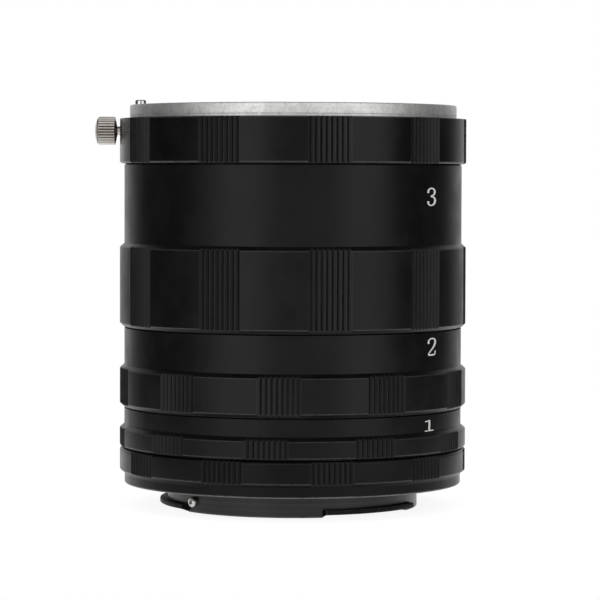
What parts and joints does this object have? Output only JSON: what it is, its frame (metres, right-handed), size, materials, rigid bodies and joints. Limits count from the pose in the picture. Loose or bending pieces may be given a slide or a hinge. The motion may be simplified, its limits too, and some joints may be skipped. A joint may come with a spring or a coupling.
{
  "type": "macro extension tube set",
  "caption": "Stack of screw-together macro extension tubes with a male bayonet below, a female bayonet plate on top and a side lock knob.",
  "frame": {"origin": "centre of the camera side bayonet's rim, which the stack stands on", "axes": "+Z along the optical axis towards the lens side plate; the lock knob sticks out along -X and the front of the stack faces -Y"},
  "size_m": [0.0652, 0.0608, 0.0711],
  "materials": {
    "black_anodised": "satin black anodised",
    "bare_plate": "bare, fine machined",
    "steel": "plain turned steel",
    "spring_steel": "rolled strip"
  },
  "bodies": {
    "camera_side": {"camera_ring": "black_anodised", "stop_screw": "steel"},
    "short_tube": {"tube_1": "black_anodised"},
    "middle_tube": {"tube_2": "black_anodised"},
    "long_tube": {"tube_3": "black_anodised"},
    "lens_side": {"lens_ring": "black_anodised", "lens_bayonet": "bare_plate", "bayonet_screw_1": "steel", "bayonet_screw_2": "steel", "bayonet_screw_3": "steel", "leaf_spring_1": "spring_steel", "leaf_spring_2": "spring_steel", "leaf_spring_3": "spring_steel", "lock_spring": "spring_steel", "lock_spring_screw": "steel"},
    "lens_lock": {"lock_pin": "steel", "lock_knob": "steel"}
  },
  "joints": [
    {"name": "short_tube_screw_off", "type": "slide", "parent": "camera_side", "child": "short_tube", "axis": [0, 0, 1], "range_m": [0, 0.012]},
    {"name": "middle_tube_screw_off", "type": "slide", "parent": "short_tube", "child": "middle_tube", "axis": [0, 0, 1], "range_m": [0, 0.012]},
    {"name": "long_tube_screw_off", "type": "slide", "parent": "middle_tube", "child": "long_tube", "axis": [0, 0, 1], "range_m": [0, 0.012]},
    {"name": "lens_side_screw_off", "type": "slide", "parent": "long_tube", "child": "lens_side", "axis": [0, 0, 1], "range_m": [0, 0.012]},
    {"name": "lens_lock_slide", "type": "slide", "parent": "lens_side", "child": "lens_lock", "axis": [0, 0, -1], "range_m": [0, 0.002], "stiffness_N_per_m": 500, "springref_m": -0.001, "deforming": ["lock_spring"]}
  ]
}
